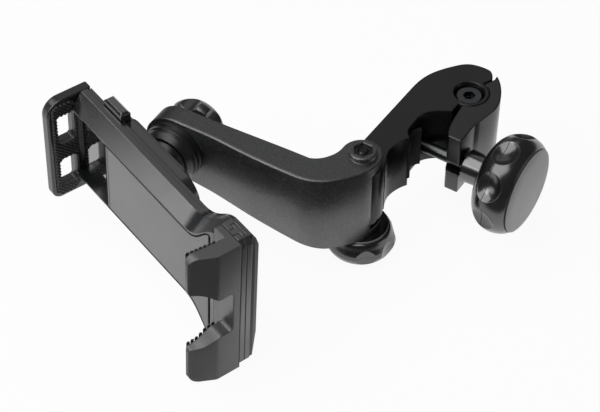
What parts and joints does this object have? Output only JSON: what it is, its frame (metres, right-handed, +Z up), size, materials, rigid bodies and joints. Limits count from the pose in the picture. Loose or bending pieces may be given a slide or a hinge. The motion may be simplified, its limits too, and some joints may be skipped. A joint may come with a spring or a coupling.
{
  "type": "headrest tablet mount",
  "caption": "Headrest tablet mount: a screw clamp for a headrest post, a swinging bent arm, a ball joint and a cradle with a sliding jaw.",
  "frame": {"origin": "axis of the headrest post at the middle of the clamp's height", "axes": "+Z up along the post; +X along the clamp body from the arm's hinge to the jaw's hinge; +Y towards the clamp's straight back, so the large knob faces -Y"},
  "size_m": [0.2013, 0.2053, 0.0836],
  "materials": {
    "clamp_plastic": "satin moulded black",
    "arm_plastic": "fine-grain black",
    "gloss_black": "polished black",
    "cap_black": "satin black",
    "cradle_gloss": "semi-gloss black",
    "panel_matte": "soft matte black",
    "pad_rubber": "bumpy black rubber",
    "steel": "zinc plated",
    "brass": "plain"
  },
  "bodies": {
    "clamp": {"clamp_body": "clamp_plastic", "post_liner": "pad_rubber", "clamp_stud": "steel", "jaw_hinge_screw": "steel", "jaw_hinge_nut": "steel"},
    "jaw": {"clamp_jaw": "clamp_plastic"},
    "thrust": {"thrust_sleeve": "gloss_black"},
    "clamp_knob": {"clamp_knob": "gloss_black", "clamp_knob_cap": "cap_black", "clamp_knob_insert": "brass"},
    "arm": {"arm": "arm_plastic", "hinge_nut": "steel", "hinge_bolt": "steel", "hinge_spacer": "clamp_plastic", "brake_pad": "pad_rubber", "socket_collar": "gloss_black", "socket_ring": "gloss_black", "lock_bolt": "steel"},
    "hinge_knob": {"hinge_knob": "gloss_black", "hinge_knob_insert": "brass"},
    "lock_knob": {"lock_knob": "gloss_black", "lock_knob_insert": "brass"},
    "ball": {"ball": "gloss_black"},
    "neck": {"ball_neck": "gloss_black"},
    "cradle": {"rear_shell": "cradle_gloss", "cradle_frame": "cradle_gloss", "front_panel": "panel_matte", "fixed_jaw": "cradle_gloss", "hook_pads": "pad_rubber"},
    "sliding_jaw": {"sliding_jaw": "cradle_gloss", "jaw_grip": "pad_rubber"},
    "release_button": {"release_button": "cradle_gloss"}
  },
  "joints": [
    {"name": "knob_travel", "type": "slide", "parent": "clamp", "child": "thrust", "axis": [0, -1, 0], "range_m": [-0.00337, 0.00126]},
    {"name": "jaw_swing", "type": "hinge", "parent": "clamp", "child": "jaw", "pos_m": [0.0362, -0.0037, 0], "axis": [0, 0, 1], "range_deg": [-8.01, 3.01]},
    {"name": "knob_spin", "type": "hinge", "parent": "thrust", "child": "clamp_knob", "pos_m": [0.0105, -0.03, -0.004], "axis": [0, -1, 0], "continuous": true},
    {"name": "arm_swing", "type": "hinge", "parent": "clamp", "child": "arm", "pos_m": [-0.0324, 0.0136, 0], "axis": [0, 0, 1], "range_deg": [-75, 50]},
    {"name": "hinge_knob_spin", "type": "hinge", "parent": "arm", "child": "hinge_knob", "pos_m": [-0.0324, 0.0136, -0.03], "axis": [0, 0, -1], "continuous": true},
    {"name": "lock_knob_spin", "type": "hinge", "parent": "arm", "child": "lock_knob", "pos_m": [-0.04417, 0.09967, 0.0035], "axis": [0.999, 0.0436, 0], "continuous": true},
    {"name": "ball_yaw", "type": "hinge", "parent": "arm", "child": "ball", "pos_m": [-0.06864, 0.0986, 0.0035], "axis": [0, 0, 1], "range_deg": [-16, 26]},
    {"name": "ball_pitch", "type": "hinge", "parent": "ball", "child": "neck", "pos_m": [-0.06864, 0.0986, 0.0035], "axis": [-0.3305, -0.9438, 0], "range_deg": [-18, 18]},
    {"name": "cradle_turn", "type": "hinge", "parent": "neck", "child": "cradle", "pos_m": [-0.08185, 0.10323, 0.00372], "axis": [-0.9437, 0.3305, 0.0157], "continuous": true},
    {"name": "jaw_slide", "type": "slide", "parent": "cradle", "child": "sliding_jaw", "axis": [0.3308, 0.9426, 0.0454], "range_m": [0, 0.074]},
    {"name": "button_press", "type": "slide", "parent": "cradle", "child": "release_button", "axis": [0.0002, 0.048, -0.9988], "range_m": [0, 0.0016], "stiffness_N_per_m": 800}
  ],
  "couplings": [
    {"joint": "jaw_swing", "follows": "knob_travel", "rad_per_m": 41.46}
  ]
}
